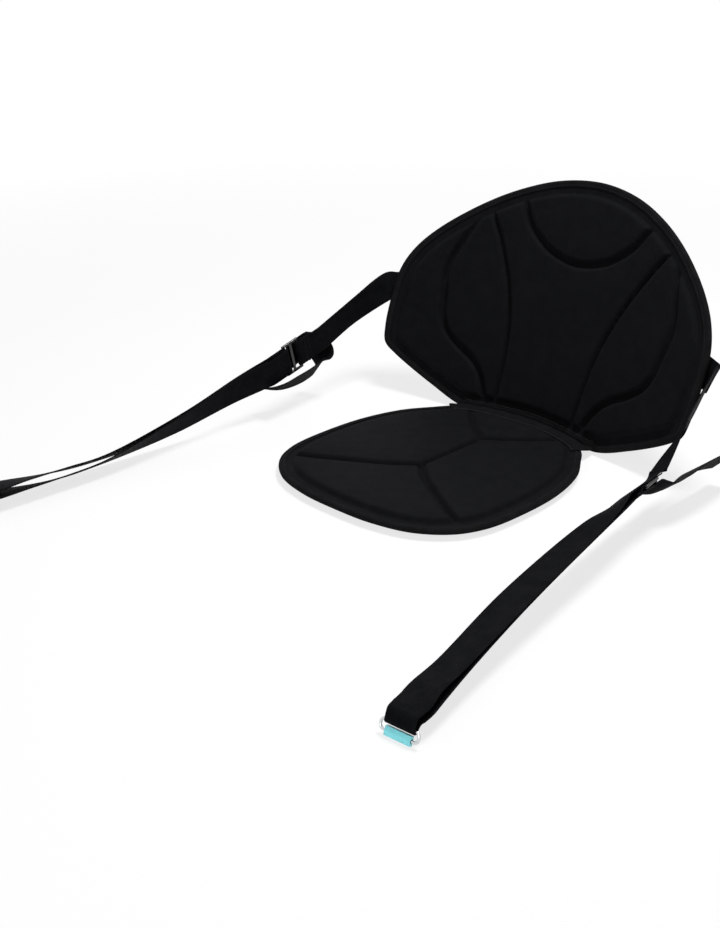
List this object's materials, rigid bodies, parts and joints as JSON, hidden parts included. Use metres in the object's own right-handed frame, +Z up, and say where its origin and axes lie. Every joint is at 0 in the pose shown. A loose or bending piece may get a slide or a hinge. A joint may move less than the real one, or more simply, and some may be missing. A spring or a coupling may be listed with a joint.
{
  "type": "kayak seat",
  "caption": "Padded kayak seat: shaped foam seat pad and curved backrest joined by a sewn hinge, with adjustable webbing side straps that end in metal rings.",
  "frame": {"origin": "underside of the seat pad, under the middle of its width and depth, in the plane of the floor it rests on", "axes": "+Z up, +Y from the seat pad towards the backrest, +X to the left hand of someone who sits in the seat. Pieces named left are on the -X side, at the left of the picture"},
  "size_m": [0.7202, 0.7853, 0.3073],
  "materials": {
    "pad_cloth": "black matt cloth over moulded foam",
    "backing_cloth": "black coated plain-weave cloth",
    "edge_tape": "black woven binding tape",
    "hinge_cloth": "dark grey woven cloth",
    "webbing": "black ribbed webbing",
    "buckle_plastic": "glossy black moulding",
    "ring_steel": "bright round wire",
    "sleeve_plastic": "light teal moulding"
  },
  "bodies": {
    "root": {"seat_pad": "pad_cloth", "seat_bottom_cover": "backing_cloth", "seat_edge_binding": "edge_tape", "backrest_pad": "pad_cloth", "backrest_back_cover": "backing_cloth", "backrest_edge_binding": "edge_tape", "hinge_tape": "hinge_cloth", "left_anchor_patch": "backing_cloth", "left_anchor_strap": "webbing", "left_buckle": "buckle_plastic", "left_adjust_strap": "webbing", "left_ring": "ring_steel", "left_ring_sleeve": "sleeve_plastic", "right_anchor_patch": "backing_cloth", "right_anchor_strap": "webbing", "right_buckle": "buckle_plastic", "right_adjust_strap": "webbing", "right_ring": "ring_steel", "right_ring_sleeve": "sleeve_plastic"}
  },
  "joints": []
}
